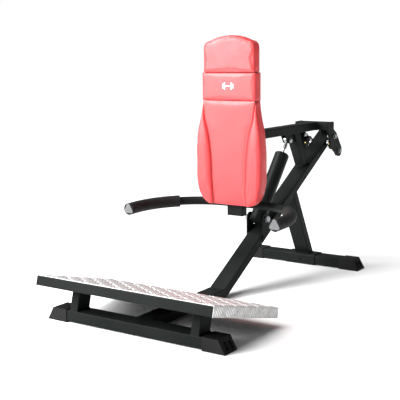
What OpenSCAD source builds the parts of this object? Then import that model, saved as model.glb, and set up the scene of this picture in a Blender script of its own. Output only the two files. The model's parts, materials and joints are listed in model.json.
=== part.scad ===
// Squat and leg press trainer with one lever arm and a hydraulic cylinder.
// Lengths are in millimetres. X points to the machine's right as seen from the front,
// Y points from the foot platform towards the pivot, Z points up, and the floor is Z = 0.
// Places along Y are first given from the front face of the front foot, then the whole
// machine is moved so that the origin lies under the middle of its bounding box.

/* [Base] */
// Half the distance between the tips of the front foot caps
front_half = 431; // [410:1:460]
// Half the distance between the tips of the rear foot caps
rear_half = 320; // [290:1:350]
// Front face of the rear foot caps
rear_foot_y = 1388; // [1370:1:1400]
// Height of the two cross tubes
cross_tube_h = 46; // [40:1:50]
// Depth of the two cross tubes
cross_tube_d = 80; // [70:1:80]

/* [Platform] */
// Width of the checker plate
platform_w = 850; // [800:1:900]
// Length of the checker plate down its slope
platform_len = 480; // [440:1:500]
// Slope of the checker plate, lower at the rear
platform_angle = 14.7; // [12:0.1:15]
// Height of the plate's front top edge
platform_front_z = 200; // [190:1:215]

/* [Frame] */
// Width of the base beam, the main beam, the rear leg and the mast
beam_w = 80; // [70:1:90]
// Thickness of the same tubes
beam_t = 40; // [35:1:45]
// Angle of the main beam above the floor
beam_angle = 30.2; // [29:0.1:31]
// Place where the base beam turns up into the main beam, on its top face
mitre_y = 616; // [600:1:630]

/* [Lever] */
// Distance of the pivot shaft behind the front foot
pivot_y = 1607; // [1590:1:1615]
// Width over the two head plates
head_w = 190; // [180:1:200]
// Height of the lever arm's top face
arm_top_z = 715.5; // [712:0.5:718]
// Front face of the mast that carries the back pad
mast_y = 762; // [755:1:770]

/* [Back pad] */
// Height of the top of the pad
pad_top_z = 1144; // [1130:1:1160]
// Height of the bottom of the pad
pad_bottom_z = 403; // [395:1:410]
// Half width of the head section
pad_head_half = 131; // [125:1:135]
// Half width across the side bolsters
pad_wide_half = 167; // [160:1:172]
// Thickness of the foam in front of the board
pad_foam_t = 36; // [30:1:45]

/* [Handlebar] */
// Outer radius of the handlebar tube
bar_r = 19; // [17:0.5:20]
// Radius of the bar's sweep forwards
bar_bend_r = 293; // [280:1:300]
// Height of the bar's middle
bar_z = 397; // [390:1:405]
// Height of the grip ends
bar_tip_z = 390.6; // [386:0.2:395]
// Outer radius of the rubber grips
grip_r = 26.5; // [25:0.5:28]

/* [Cylinder] */
// Lower pivot of the cylinder, behind the front foot
clevis_y = 968; // [960:1:975]
// Height of the lower pivot
clevis_z = 304; // [300:1:308]
// Upper pivot of the piston rod, behind the front foot
rod_pivot_y = 1250; // [1245:1:1255]
// Height of the upper pivot
rod_pivot_z = 643; // [641:1:645]
// Outer radius of the barrel
barrel_r = 35; // [30:1:35]
// Distance from the lower pivot to the top of the barrel
barrel_top = 357; // [340:1:360]

/* [Hidden] */
$fn = 48;

frame_colour = [0.13, 0.14, 0.135];
plastic_colour = [0.09, 0.09, 0.09];
rubber_colour = [0.05, 0.05, 0.05];
steel_colour = [0.75, 0.76, 0.78];
plate_colour = [0.80, 0.80, 0.78];
pad_colour = [0.85, 0.27, 0.27];
brass_colour = [0.80, 0.62, 0.28];

wall = 3;
corner_r = 4;
sole_t = 5;
cap_wall = 2.5;
cap_slope = 31;
cap_len = 101;
cap_h = sole_t + cross_tube_h + cap_wall;
cap_d = cross_tube_d + 2 * cap_wall;
tube_end_gap = 38;
fit_gap = 0.1;
tube_top = sole_t + cross_tube_h;

base_top = 48;
plate_t = 2.5;
flange_t = 2;
bar_t = 40;
platform_t = plate_t + bar_t;
platform_y = -58.9;
bars_half = platform_w / 2 - flange_t;
post_d = 74;
post_x = 295;
post_place = 100;
post_len = 130;
bearer_x = 100;
weld_gap = 0.5;

pivot_z = base_top + (pivot_y - mitre_y) * tan(beam_angle) - beam_t / 2 / cos(beam_angle);
beam_end = 84;
end_cap_t = 3;
shaft_r = 12.5;
boss_r = 18;
plate_out = head_w / 2;
head_plate_t = 8;
plate_in = plate_out - head_plate_t;
insert_r = 26;
insert_gap = 0.05;
housing_r = 34;
lug_r = 16;
lug_pitch = 49.5;
lug_angle = 128;
flange_h = 14;
boss_h = 13;
arm_h = 40;
arm_w = 60;
head_front = 1510;
head_depth = 60;
arm_bottom = arm_top_z - arm_h;
arm_mid = arm_top_z - arm_h / 2;
mast_bottom = 352;
mast_top = 980;
bar_y = mast_y + beam_t + bar_r;
bar_bend_x = 76.5;
bar_tip_y = 469;
grip_len = 290;

stop_w = 50;
stop_front_y = 1375;
stop_front_z = 510;
stop_gap = 18;

leg_y = 1350;
leg_z = 177.5;
leg_angle = 118.15;
sleeve_half = 82;
sleeve_t = 4;

clevis_in = beam_w / 2;
clevis_t = 6;
clevis_r = 28;
bolt_r = 8;
rod_bolt_r = 5;
bracket_in = 8;
bracket_t = 8;
eye_travel = 16.5;
eye_drop = 2;
eye_bore_r = 7.6;
eye_r = 12;
eye_half = 7;
rod_r = 6;
neck_r = 9;
neck_low = 46;
neck_high = 24;
base_r = 37.5;
base_low = -16;
base_high = 62;
washer_r = 13;

board_t = 12;
pad_back = mast_y;
pad_front = pad_back - board_t - pad_foam_t;
band_low = 864;
band_high = 986;
band_proud = 2.5;
board_inset = 14;

// The machine's length runs from the platform's lower front edge to the main beam's end cap.
front_most = platform_y - platform_t * sin(platform_angle);
rear_most = pivot_y + (beam_end + end_cap_t) * cos(beam_angle) + beam_t / 2 * sin(beam_angle);
y_mid = (front_most + rear_most) / 2;

rod_dy = rod_pivot_y - clevis_y;
rod_dz = rod_pivot_z - clevis_z;
rod_len = sqrt(rod_dy * rod_dy + rod_dz * rod_dz);
rod_angle = atan2(rod_dz, rod_dy);

// ---- Shared shapes ----

module placed() {
  translate([0, -y_mid, 0]) children();
}

// Both sides of the machine, the second one mirrored.
module both_sides() {
  children();
  mirror([1, 0, 0]) children();
}

// A bar with rounded corners along +Y, its section centred on X and Z.
module round_bar(len, w, h, r) {
  translate([-w / 2, 0, -h / 2 + r]) cube([w, len, h - 2 * r]);
  translate([-w / 2 + r, 0, -h / 2]) cube([w - 2 * r, len, h]);
  for (sx = [-1, 1], sz = [-1, 1])
    translate([sx * (w / 2 - r), 0, sz * (h / 2 - r)])
      rotate([-90, 0, 0]) cylinder(h = len, r = r);
}

module box_tube(len, w, h) {
  difference() {
    round_bar(len, w, h, corner_r);
    translate([0, -1, 0]) round_bar(len + 2, w - 2 * wall, h - 2 * wall, 1);
  }
}

// A flat plate cut to a side view outline: [y, z] points, from x0 over a thickness t.
module side_cut(points, x0, t) {
  translate([x0, 0, 0]) rotate([90, 0, 90]) linear_extrude(t) polygon(points);
}

// A round bar along X, centred on x = 0.
module x_rod(r, len) {
  rotate([0, 90, 0]) translate([0, 0, -len / 2]) cylinder(h = len, r = r);
}

// A round bar along X from x0 over a length.
module x_rod_from(r, x0, len) {
  translate([x0, 0, 0]) rotate([0, 90, 0]) cylinder(h = len, r = r);
}

module hex_from(flats, x0, len) {
  translate([x0, 0, 0]) rotate([0, 90, 0]) cylinder(h = len, r = flats / sqrt(3), $fn = 6);
}

// Frame along the main beam: origin on the pivot, Y up the beam, Z square to its top face.
module beam_frame() {
  translate([0, pivot_y, pivot_z]) rotate([beam_angle, 0, 0]) children();
}

// Frame of the platform: origin on the front top edge, Y down the slope, Z square to the plate.
module platform_frame() {
  translate([0, platform_y, platform_front_z]) rotate([-platform_angle, 0, 0]) children();
}

// Frame of the cylinder: origin on the lower pivot, Y along the cylinder.
module cylinder_frame() {
  translate([0, clevis_y, clevis_z]) rotate([rod_angle, 0, 0]) children();
}

module y_cylinder(r, y0, y1) {
  translate([0, y0, 0]) rotate([-90, 0, 0]) cylinder(h = y1 - y0, r = r);
}

module mitre_block(forwards) {
  translate([0, mitre_y, base_top]) rotate([beam_angle / 2, 0, 0])
    translate([-100, forwards ? -600 : 0, -300]) cube([200, 600, 600]);
}

// ---- Base ----

// One cross tube, laid along X, with its front face at y0.
module cross_tube(half, y0) {
  len = 2 * (half - tube_end_gap);
  translate([-len / 2, y0 + cap_wall + cross_tube_d / 2, sole_t + cross_tube_h / 2])
    rotate([0, 0, -90]) box_tube(len, cross_tube_d, cross_tube_h);
}

// One moulded foot on the right end of a cross tube: sloped end, hollow round the tube.
module foot_cap(half, y0) {
  inner = half - cap_len;
  pocket_w = cap_d - 30;
  difference() {
    translate([0, y0 + cap_d, 0]) rotate([90, 0, 0]) linear_extrude(cap_d)
      polygon([[inner, 0], [half, 0], [half - cap_slope, cap_h], [inner, cap_h]]);
    translate([inner - 1, y0 + cap_wall + cross_tube_d / 2, sole_t + cross_tube_h / 2])
      rotate([0, 0, -90])
        round_bar(cap_len - tube_end_gap + 1.5, cross_tube_d + 2 * fit_gap,
                  cross_tube_h + 2 * fit_gap, corner_r);
    translate([half, y0 + cap_d / 2, 0]) rotate([0, -atan(cap_slope / cap_h), 0])
      for (side = [-1, 1]) translate([-6, side * (pocket_w / 4 + 2) - pocket_w / 4 + 2, 12])
        cube([20, pocket_w / 2 - 4, 34]);
  }
}

module front_cross_tube() {
  color(frame_colour) placed() cross_tube(front_half, 0);
}

module front_foot_caps() {
  color(plastic_colour) placed() both_sides() foot_cap(front_half, 0);
}

module rear_cross_tube() {
  color(frame_colour) placed() cross_tube(rear_half, rear_foot_y);
}

module rear_foot_caps() {
  color(plastic_colour) placed() both_sides() foot_cap(rear_half, rear_foot_y);
}

// Two posts stand square to the plate and are cut level on the front tube.
module platform_posts() {
  color(frame_colour) placed() both_sides() difference() {
    platform_frame() translate([post_x, post_place + post_d / 2, -platform_t])
      rotate([-90, 0, 0]) box_tube(post_len, bar_t, post_d);
    translate([post_x - bar_t, -50, tube_top - 200]) cube([2 * bar_t, 300, 200]);
  }
}

// A square tube across the platform, from x0 to x1, its front face at y0 in the plate's frame.
module cross_bar(x0, x1, y0) {
  translate([x0, y0 + bar_t / 2, -platform_t + bar_t / 2]) rotate([0, 0, -90])
    box_tube(x1 - x0, bar_t, bar_t);
}

module platform_front_bar() {
  color(frame_colour) placed() platform_frame() cross_bar(-bars_half, bars_half, 0);
}

// The rear bar is in two halves, one on each side of the base beam.
module platform_rear_bars() {
  color(frame_colour) placed() both_sides() platform_frame()
    cross_bar(beam_w / 2 + weld_gap, bars_half, platform_len - bar_t);
}

// Six bars run down the slope under the tread: two of them stand on the posts.
module platform_bearers() {
  color(frame_colour) placed() platform_frame() both_sides()
    for (x = [bearer_x, post_x, bars_half - bar_t / 2])
      translate([x, bar_t, -platform_t + bar_t / 2])
        box_tube(platform_len - 2 * bar_t, bar_t, bar_t);
}

// Tread sheet, folded down over both sides of the frame.
module checker_plate() {
  color(plate_colour) placed() platform_frame() {
    translate([-platform_w / 2, 0, -plate_t]) cube([platform_w, platform_len, plate_t]);
    both_sides() translate([platform_w / 2 - flange_t, 0, -platform_t])
      cube([flange_t, platform_len, platform_t]);
  }
}

module base_beam() {
  start = cap_wall + cross_tube_d;
  color(frame_colour) placed() difference() {
    translate([0, start, base_top - beam_t / 2])
      box_tube(mitre_y - start + 60, beam_w, beam_t);
    mitre_block(false);
  }
}

// ---- Main beam and rear leg ----

module main_beam() {
  reach = (pivot_y - mitre_y) / cos(beam_angle) + 60;
  color(frame_colour) placed() difference() {
    beam_frame() translate([0, -reach, 0]) box_tube(reach + beam_end, beam_w, beam_t);
    mitre_block(true);
    beam_frame() x_rod(boss_r, beam_w + 10);
  }
}

module beam_end_cap() {
  color(plastic_colour) placed() beam_frame() {
    translate([0, beam_end, 0]) round_bar(end_cap_t, beam_w, beam_t, corner_r);
    translate([0, beam_end - 12, 0])
      round_bar(12, beam_w - 2 * wall - 2 * fit_gap, beam_t - 2 * wall - 2 * fit_gap, 1);
  }
}

// Bush welded through both walls of the main beam.
module pivot_boss() {
  color(frame_colour) placed() beam_frame() difference() {
    x_rod(boss_r, beam_w + 8);
    x_rod(shaft_r, beam_w + 20);
  }
}

module pivot_shaft() {
  color(steel_colour) placed() beam_frame() x_rod(shaft_r, 2 * plate_in - 2);
}

// Inner parts of the two flange bearings, locked on the shaft.
module bearing_inserts() {
  inner_end = plate_in - flange_h - boss_h;
  color(steel_colour) placed() beam_frame() both_sides() difference() {
    union() {
      x_rod_from(insert_r - insert_gap, inner_end, flange_h + boss_h - 4);
      x_rod_from(shaft_r + 4.5, beam_w / 2 + 4.5, inner_end - beam_w / 2 - 4.5);
    }
    x_rod(shaft_r, head_w);
  }
}

upper_stop_along = 62;
upper_stop_r = 19;
upper_stop_h = 50;
upper_bumper_h = 18;

// Post and rubber buffer on the end of the main beam: the head box meets it at full travel.
module upper_stop_post() {
  color(frame_colour) placed() beam_frame() translate([0, upper_stop_along, beam_t / 2])
    cylinder(h = upper_stop_h - upper_bumper_h, r = upper_stop_r - 5);
}

module upper_stop_bumper() {
  color(rubber_colour) placed() beam_frame()
    translate([0, upper_stop_along, beam_t / 2 + upper_stop_h - upper_bumper_h])
      cylinder(h = upper_bumper_h, r = upper_stop_r);
}

module rear_leg() {
  color(frame_colour) placed() difference() {
    translate([0, leg_y, leg_z]) rotate([leg_angle, 0, 0])
      translate([0, -200, -beam_t / 2]) box_tube(480, beam_w, beam_t);
    translate([-60, leg_y - 50, -200]) cube([120, 300, tube_top + sleeve_t + 200]);
    beam_frame() translate([-60, -700, -beam_t / 2]) cube([120, 800, 300]);
  }
}

// Sleeve round the rear cross tube, which the rear leg is welded to.
module rear_sleeve() {
  y_c = rear_foot_y + cap_wall + cross_tube_d / 2;
  z_c = sole_t + cross_tube_h / 2;
  color(frame_colour) placed() difference() {
    translate([-sleeve_half, y_c, z_c]) rotate([0, 0, -90])
      round_bar(2 * sleeve_half, cross_tube_d + 2 * sleeve_t, cross_tube_h + 2 * sleeve_t,
                corner_r + sleeve_t);
    translate([-sleeve_half - 1, y_c, z_c]) rotate([0, 0, -90])
      round_bar(2 * sleeve_half + 2, cross_tube_d + fit_gap, cross_tube_h + fit_gap, corner_r);
  }
}

module sleeve_screw() {
  color(steel_colour) placed()
    translate([0, rear_foot_y + cap_wall - sleeve_t, sole_t + cross_tube_h / 2])
      rotate([90, 0, 0]) difference() {
        cylinder(h = 4, r = 6);
        translate([0, 0, 1.5]) cylinder(h = 4, r = 3, $fn = 6);
      }
}

// ---- Cylinder mounting ----

clevis_foot = clevis_z - (base_top + (clevis_y - mitre_y) * tan(beam_angle));

// Two ears on the sides of the main beam.
module clevis_plates() {
  low = 30;
  color(frame_colour) placed() both_sides() difference() {
    translate([0, clevis_y, clevis_z]) union() {
      x_rod_from(clevis_r, clevis_in, clevis_t);
      side_cut([[-clevis_r, 0], [clevis_r, 0],
                [clevis_r, -clevis_foot + clevis_r * tan(beam_angle) - low],
                [-clevis_r, -clevis_foot - clevis_r * tan(beam_angle) - low]],
               clevis_in, clevis_t);
    }
    translate([0, clevis_y, clevis_z]) x_rod(bolt_r, 200);
  }
}

module clevis_bolt() {
  out = clevis_in + clevis_t;
  color(steel_colour) placed() translate([0, clevis_y, clevis_z]) {
    x_rod_from(bolt_r, -out - 20, 2 * out + 22.5);
    hex_from(24, out + 2.5, 10);
  }
}

module clevis_nut() {
  out = clevis_in + clevis_t;
  color(steel_colour) placed() translate([0, clevis_y, clevis_z]) difference() {
    hex_from(24, -out - 2.5 - 15, 15);
    x_rod(bolt_r, 200);
  }
}

module clevis_washers() {
  out = clevis_in + clevis_t;
  color(steel_colour) placed() translate([0, clevis_y, clevis_z]) both_sides() difference() {
    x_rod_from(15, out, 2.5);
    x_rod(bolt_r, 200);
  }
}

// ---- Lever arm ----

module lever_arm() {
  color(frame_colour) placed()
    translate([0, mast_y + beam_t, arm_mid]) box_tube(head_front - mast_y - beam_t, arm_w, arm_h);
}

module head_box() {
  color(frame_colour) placed() translate([-plate_in, head_front + head_depth / 2, arm_mid])
    rotate([0, 0, -90]) box_tube(2 * plate_in, head_depth, arm_h);
}

function lug(along, across) = [
  along * cos(lug_angle) + across * sin(lug_angle),
  along * sin(lug_angle) - across * cos(lug_angle)
];

// The side plates run from the head box down past the pivot, along the bearing's bolts.
module head_plates() {
  band_front = -38;
  band_rear = 30;
  tip = -lug_pitch;
  top_z = arm_top_z - pivot_z;
  front_y = head_front - pivot_y;
  rear_y = front_y + head_depth;
  color(frame_colour) placed() both_sides() difference() {
    translate([0, pivot_y, pivot_z]) union() {
      side_cut([[front_y, top_z], [front_y, top_z - arm_h - 4],
                lug(48, band_front - 14), lug(tip, band_front), lug(tip - 20, -15),
                lug(tip - 24, 6), lug(tip, band_rear), lug(48, band_rear),
                [rear_y, top_z - arm_h + 2], [rear_y, top_z]],
               plate_in, head_plate_t);
      translate([0, lug(tip, 0)[0], lug(tip, 0)[1]]) x_rod_from(band_rear, plate_in, head_plate_t);
    }
    bolt_places() x_rod(6, 400);
  }
}

module bolt_places() {
  for (side = [-1, 1])
    translate([0, pivot_y + lug(side * lug_pitch, 0)[0], pivot_z + lug(side * lug_pitch, 0)[1]])
      children();
}

// Outline of a two-bolt flange: a disc, two lugs, and their common tangents.
module flange_shape() {
  lean = acos((housing_r - lug_r) / lug_pitch);
  circle(r = housing_r);
  for (side = [-1, 1]) translate([side * lug_pitch, 0]) circle(r = lug_r);
  polygon([for (q = [[1, 1], [-1, 1], [-1, -1], [1, -1]]) each
    q[0] * q[1] > 0
      ? [[q[0] * (lug_pitch + lug_r * cos(lean)), q[1] * lug_r * sin(lean)],
         [q[0] * housing_r * cos(lean), q[1] * housing_r * sin(lean)]]
      : [[q[0] * housing_r * cos(lean), q[1] * housing_r * sin(lean)],
         [q[0] * (lug_pitch + lug_r * cos(lean)), q[1] * lug_r * sin(lean)]]]);
}

// Flange bearing housings, bolted inside the head plates.
module bearing_housings() {
  color(frame_colour) placed() both_sides() difference() {
    union() {
      translate([plate_in - flange_h, pivot_y, pivot_z]) rotate([90, 0, 90])
        linear_extrude(flange_h) rotate([0, 0, lug_angle]) flange_shape();
      translate([0, pivot_y, pivot_z])
        x_rod_from(housing_r - 2, plate_in - flange_h - boss_h, boss_h);
    }
    translate([0, pivot_y, pivot_z]) x_rod(insert_r, 400);
    bolt_places() x_rod(6, 400);
    nipple_frame() cylinder(h = 10, r = 5);
  }
}

// Screws through each head plate and bearing flange, heads on the outside.
module bearing_bolts() {
  color(steel_colour) placed() both_sides() bolt_places() {
    x_rod_from(6, plate_in - flange_h - 16, flange_h + head_plate_t + 16 + 2.5);
    x_rod_from(washer_r, plate_out, 2.5);
    hex_from(19, plate_out + 2.5, 7.5);
  }
}

module bearing_nuts() {
  color(steel_colour) placed() both_sides() bolt_places() difference() {
    hex_from(19, plate_in - flange_h - 10, 10);
    x_rod(6, 400);
  }
}

// Frame of the grease nipple: Z points out of the bearing's front, from its small flat.
module nipple_frame() {
  translate([plate_in - flange_h - 6, pivot_y - housing_r + 2.5, pivot_z])
    rotate([90, 0, 0]) children();
}

module grease_nipples() {
  color(brass_colour) placed() both_sides() nipple_frame() {
    cylinder(h = 3, r = 4, $fn = 6);
    translate([0, 0, 3]) cylinder(h = 6, r = 2.6);
  }
}

stop_angle = beam_angle + 90;
stop_y = stop_front_y + stop_w / 2 * cos(beam_angle);
stop_z = stop_front_z + stop_w / 2 * sin(beam_angle);

// Square tube under the arm that carries the lower bumper; Y of its frame runs up the tube.
module stop_frame() {
  translate([0, stop_y, stop_z]) rotate([stop_angle, 0, 0]) children();
}

module stop_tube() {
  color(frame_colour) placed() difference() {
    stop_frame() box_tube(260, stop_w, stop_w);
    translate([-60, stop_y - 300, arm_bottom]) cube([120, 600, 300]);
  }
}

// Gap between the stop tube and the main beam's top face, filled by the bumper.
stop_space = (stop_front_z - (base_top + (stop_front_y - mitre_y) * tan(beam_angle)))
             * cos(beam_angle);

module stop_bumper() {
  color(rubber_colour) placed() stop_frame() difference() {
    y_cylinder(stop_w / 2 - 1, -stop_space + 0.3, 0);
    y_cylinder(5, -stop_space - 1, -stop_space + 5);
  }
}

// Two ears for the piston rod, welded under the arm and to the front of the stop tube.
module rod_bracket() {
  tube_front = stop_front_y - (rod_pivot_z - 12 - stop_front_z) * tan(beam_angle);
  tube_top_y = stop_front_y - (arm_bottom - stop_front_z) * tan(beam_angle);
  color(frame_colour) placed() both_sides() difference() {
    side_cut([[rod_pivot_y - 42, arm_bottom], [rod_pivot_y - 17, rod_pivot_z - 2],
              [rod_pivot_y - 8, rod_pivot_z - 12], [tube_front, rod_pivot_z - 12],
              [tube_top_y, arm_bottom]],
             bracket_in, bracket_t);
    translate([0, rod_pivot_y, rod_pivot_z]) x_rod(rod_bolt_r, 200);
  }
}

module rod_bolt() {
  out = bracket_in + bracket_t;
  color(steel_colour) placed() translate([0, rod_pivot_y, rod_pivot_z]) {
    x_rod_from(rod_bolt_r, -out - 12, 2 * out + 14);
    x_rod_from(12, out, 2);
    hex_from(17, out + 2, 6.5);
  }
}

module rod_nut() {
  out = bracket_in + bracket_t;
  color(steel_colour) placed() translate([0, rod_pivot_y, rod_pivot_z]) difference() {
    union() {
      x_rod_from(12, -out - 2, 2);
      hex_from(17, -out - 10, 8);
    }
    x_rod(rod_bolt_r, 200);
  }
}

// ---- Mast, handlebar and back pad ----

module mast() {
  color(frame_colour) placed() difference() {
    translate([0, mast_y + beam_t / 2, mast_bottom]) rotate([90, 0, 0])
      box_tube(mast_top - mast_bottom, beam_w, beam_t);
    pad_bolt_places() rotate([90, 0, 0]) translate([0, 0, -100]) cylinder(h = 200, r = 4);
  }
}

module mast_end_caps() {
  ends = [[mast_bottom - end_cap_t, mast_bottom], [mast_top, mast_top - 12]];
  color(plastic_colour) placed() translate([0, mast_y + beam_t / 2, 0]) rotate([90, 0, 0])
    for (e = ends) {
      translate([0, e[0], 0]) round_bar(end_cap_t, beam_w, beam_t, corner_r);
      translate([0, e[1], 0])
        round_bar(12, beam_w - 2 * wall - 2 * fit_gap, beam_t - 2 * wall - 2 * fit_gap, 1);
    }
}

bar_lean = atan((bar_z - bar_tip_z) / (bar_y - bar_tip_y));

// One side of the handlebar's line in its own plane, from angle a0 to a1 of the bend, plus
// a straight end: r and hole are the outer and inner radius.
module bent_bar(r, hole, a0, straight) {
  translate([bar_bend_x, -bar_bend_r, 0]) {
    rotate_extrude(angle = 90 - a0) translate([bar_bend_r, 0]) difference() {
      circle(r = r);
      circle(r = hole);
    }
    translate([bar_bend_r, 0, 0]) rotate([90, 0, 0]) difference() {
      cylinder(h = straight, r = r);
      translate([0, 0, -1]) cylinder(h = straight + 2, r = hole);
    }
  }
}

bar_straight = bar_y - bar_bend_r - bar_tip_y;
bar_wall = 2;
cap_lap = 3;

// The plane of the bar leans down towards the grips.
module bar_frame() {
  translate([0, bar_y, bar_z]) rotate([bar_lean, 0, 0]) children();
}

module handlebar() {
  color(frame_colour) placed() bar_frame() {
    both_sides() bent_bar(bar_r, bar_r - bar_wall, 0, bar_straight - cap_lap);
    difference() {
      x_rod(bar_r, 2 * bar_bend_x);
      x_rod(bar_r - bar_wall, 2 * bar_bend_x + 2);
    }
  }
}

grip_arc = (grip_len - bar_straight) / bar_bend_r * 180 / PI;

module handle_grips() {
  color(rubber_colour) placed() bar_frame() both_sides()
    bent_bar(grip_r, bar_r, 90 - grip_arc, bar_straight - cap_lap);
}

// Triangle with eased corners of radius r, their middles at a distance from the centre.
module round_triangle(distance, r) {
  polygon([for (a = [90, 210, 330], turn = [-60 : 15 : 60])
    [distance * cos(a) + r * cos(a + turn), distance * sin(a) + r * sin(a + turn)]]);
}

// Round plugs with a raised three-cornered face.
module grip_end_caps() {
  plug_t = 4;
  face_t = 3;
  face_r = 9;
  color(plastic_colour) placed() bar_frame() both_sides()
    translate([bar_bend_x + bar_bend_r, -bar_bend_r - bar_straight + cap_lap, 0])
      rotate([90, 0, 0]) {
        cylinder(h = plug_t, r = grip_r);
        translate([0, 0, plug_t]) linear_extrude(face_t)
          round_triangle(grip_r - face_r - 1, face_r);
      }
}

pad_bolt_z = [500, 600, 800, 900];

module pad_bolt_places() {
  for (z = pad_bolt_z) translate([0, mast_y, z]) children();
}

// M8 screws through the mast into the board.
module pad_bolts() {
  color(steel_colour) placed() pad_bolt_places() rotate([-90, 0, 0]) {
    translate([0, 0, -8]) cylinder(h = beam_t + 8, r = 4);
    translate([0, 0, beam_t]) cylinder(h = 1.6, r = 9);
    translate([0, 0, beam_t + 1.6]) cylinder(h = 5.5, r = 13 / sqrt(3), $fn = 6);
  }
}

// Right half of the pad's outline, going down, moved in by an inset.
function pad_side(inset) = [
  [pad_head_half - 18 - inset * 0.6, pad_top_z - 25 - inset],
  [pad_head_half - 5 - inset, pad_top_z - 35 - inset],
  [pad_head_half - inset, pad_top_z - 54 - inset],
  [pad_head_half - inset, band_high],
  [pad_head_half + 4 - inset, band_low],
  [pad_head_half + 6 - inset, 833],
  [pad_head_half + 15 - inset, 782],
  [pad_head_half + 27 - inset, 730],
  [pad_wide_half - 4 - inset, 685],
  [pad_wide_half - inset, 630],
  [pad_wide_half - inset, 527],
  [pad_wide_half - 5 - inset, 488],
  [pad_wide_half - 14 - inset, 455],
  [pad_wide_half - 28 - inset, 428],
  [pad_wide_half - 44 - inset, 412 + inset * 0.7],
  [pad_wide_half - 62 - inset, pad_bottom_z + inset]
];

function crown(inset) = [for (x = [-100 : 20 : 100])
  [x, pad_top_z - inset - x * x * 22 / 10000]];

function flipped(points) = [for (i = [len(points) - 1 : -1 : 0]) [-points[i][0], points[i][1]]];

function pad_outline(inset) = concat(crown(inset), pad_side(inset), flipped(pad_side(inset)));

// A slab of the pad's outline between two depths and two heights.
module pad_slab(inset, y0, y1, z0, z1) {
  intersection() {
    translate([0, y1, 0]) rotate([90, 0, 0]) linear_extrude(y1 - y0)
      polygon(pad_outline(inset));
    translate([-250, y0 - 1, z0]) cube([500, y1 - y0 + 2, z1 - z0]);
  }
}

module pad_board() {
  color([0.45, 0.36, 0.25]) placed() difference() {
    pad_slab(board_inset, pad_back - board_t, pad_back, 0, 2000);
    pad_bolt_places() rotate([90, 0, 0]) translate([0, 0, -20]) cylinder(h = 40, r = 4);
  }
}

module cushion_part(z0, z1) {
  color(pad_colour) placed() difference() {
    pad_slab(0, pad_front, pad_back, z0, z1);
    pad_slab(board_inset, pad_back - board_t, pad_back + 1, 0, 2000);
  }
}

module back_cushion() {
  cushion_part(0, band_low);
}

module head_cushion() {
  cushion_part(band_high, 2000);
}

// Sewn band between the head and back sections, standing a little proud.
module pad_band() {
  color(pad_colour) placed() difference() {
    translate([-pad_head_half - 5, pad_front - band_proud, band_low])
      cube([2 * pad_head_half + 10, pad_back - pad_front + band_proud, band_high - band_low]);
    pad_slab(board_inset, pad_back - board_t, pad_back + 1, 0, 2000);
  }
}

// ---- Hydraulic cylinder ----

barrel_wall = 4;
bush_t = 2;
bush_gap = 0.05;
base_floor = 26;

// Lower housing with the cross bore that takes the clevis bolt.
module cylinder_base() {
  color(plastic_colour) placed() cylinder_frame() difference() {
    union() {
      y_cylinder(base_r, base_low + 4, base_high);
      y_cylinder(base_r - 3, base_low, base_high);
    }
    y_cylinder(barrel_r, base_floor, base_high + 1);
    x_rod(bolt_r + bush_t, 100);
    translate([0, 38, base_r - 5]) cylinder(h = 10, r = 4);
  }
}

module cylinder_bushes() {
  color(brass_colour) placed() cylinder_frame() both_sides() difference() {
    x_rod_from(bolt_r + bush_t, 8, 30.5);
    x_rod(bolt_r + bush_gap, 100);
  }
}

module cylinder_barrel() {
  color(plastic_colour) placed() cylinder_frame() difference() {
    y_cylinder(barrel_r, base_floor, barrel_top - 10);
    y_cylinder(barrel_r - barrel_wall, base_floor + 6, barrel_top);
  }
}

// Screwed-in top cap with the rod's seal.
module cylinder_gland() {
  color(plastic_colour) placed() cylinder_frame() difference() {
    union() {
      y_cylinder(barrel_r, barrel_top - 10, barrel_top);
      y_cylinder(barrel_r - barrel_wall, barrel_top - 28, barrel_top - 10);
      y_cylinder(rod_r + 7, barrel_top, barrel_top + 5);
    }
    y_cylinder(rod_r + bush_gap, barrel_top - 40, barrel_top + 20);
  }
}

piston_y = 92;

module piston() {
  color(steel_colour) placed() cylinder_frame() difference() {
    y_cylinder(barrel_r - barrel_wall - bush_gap, piston_y, piston_y + 26);
    y_cylinder(rod_r, piston_y - 1, piston_y + 27);
  }
}

// The rod ends half way up the neck of its eye.
rod_end = rod_len - (neck_low + neck_high) / 2;

module piston_rod() {
  color(steel_colour) placed() cylinder_frame() y_cylinder(rod_r, piston_y, rod_end);
}

// A slot across the rod, of half width r and half length along the bolt, that starts at the
// rod bolt and ends eye_travel towards the front.
module eye_slot(r, half) {
  translate([0, rod_len - eye_drop, 0]) {
    x_rod(r, 2 * half);
    translate([0, 0, eye_travel]) x_rod(r, 2 * half);
    translate([-half, -r, 0]) cube([2 * half, 2 * r, eye_travel]);
  }
}

// The rod bolt moves along the slot in this eye: see the record's stand-ins.
module rod_eye() {
  color(steel_colour) placed() cylinder_frame() difference() {
    union() {
      eye_slot(eye_r, eye_half);
      y_cylinder(neck_r, rod_len - neck_low, rod_len - neck_high);
      y_cylinder(eye_half - 0.5, rod_len - neck_high - 1, rod_len - eye_r);
    }
    eye_slot(eye_bore_r, eye_half + 1);
    y_cylinder(rod_r, 0, rod_end);
  }
}

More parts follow.
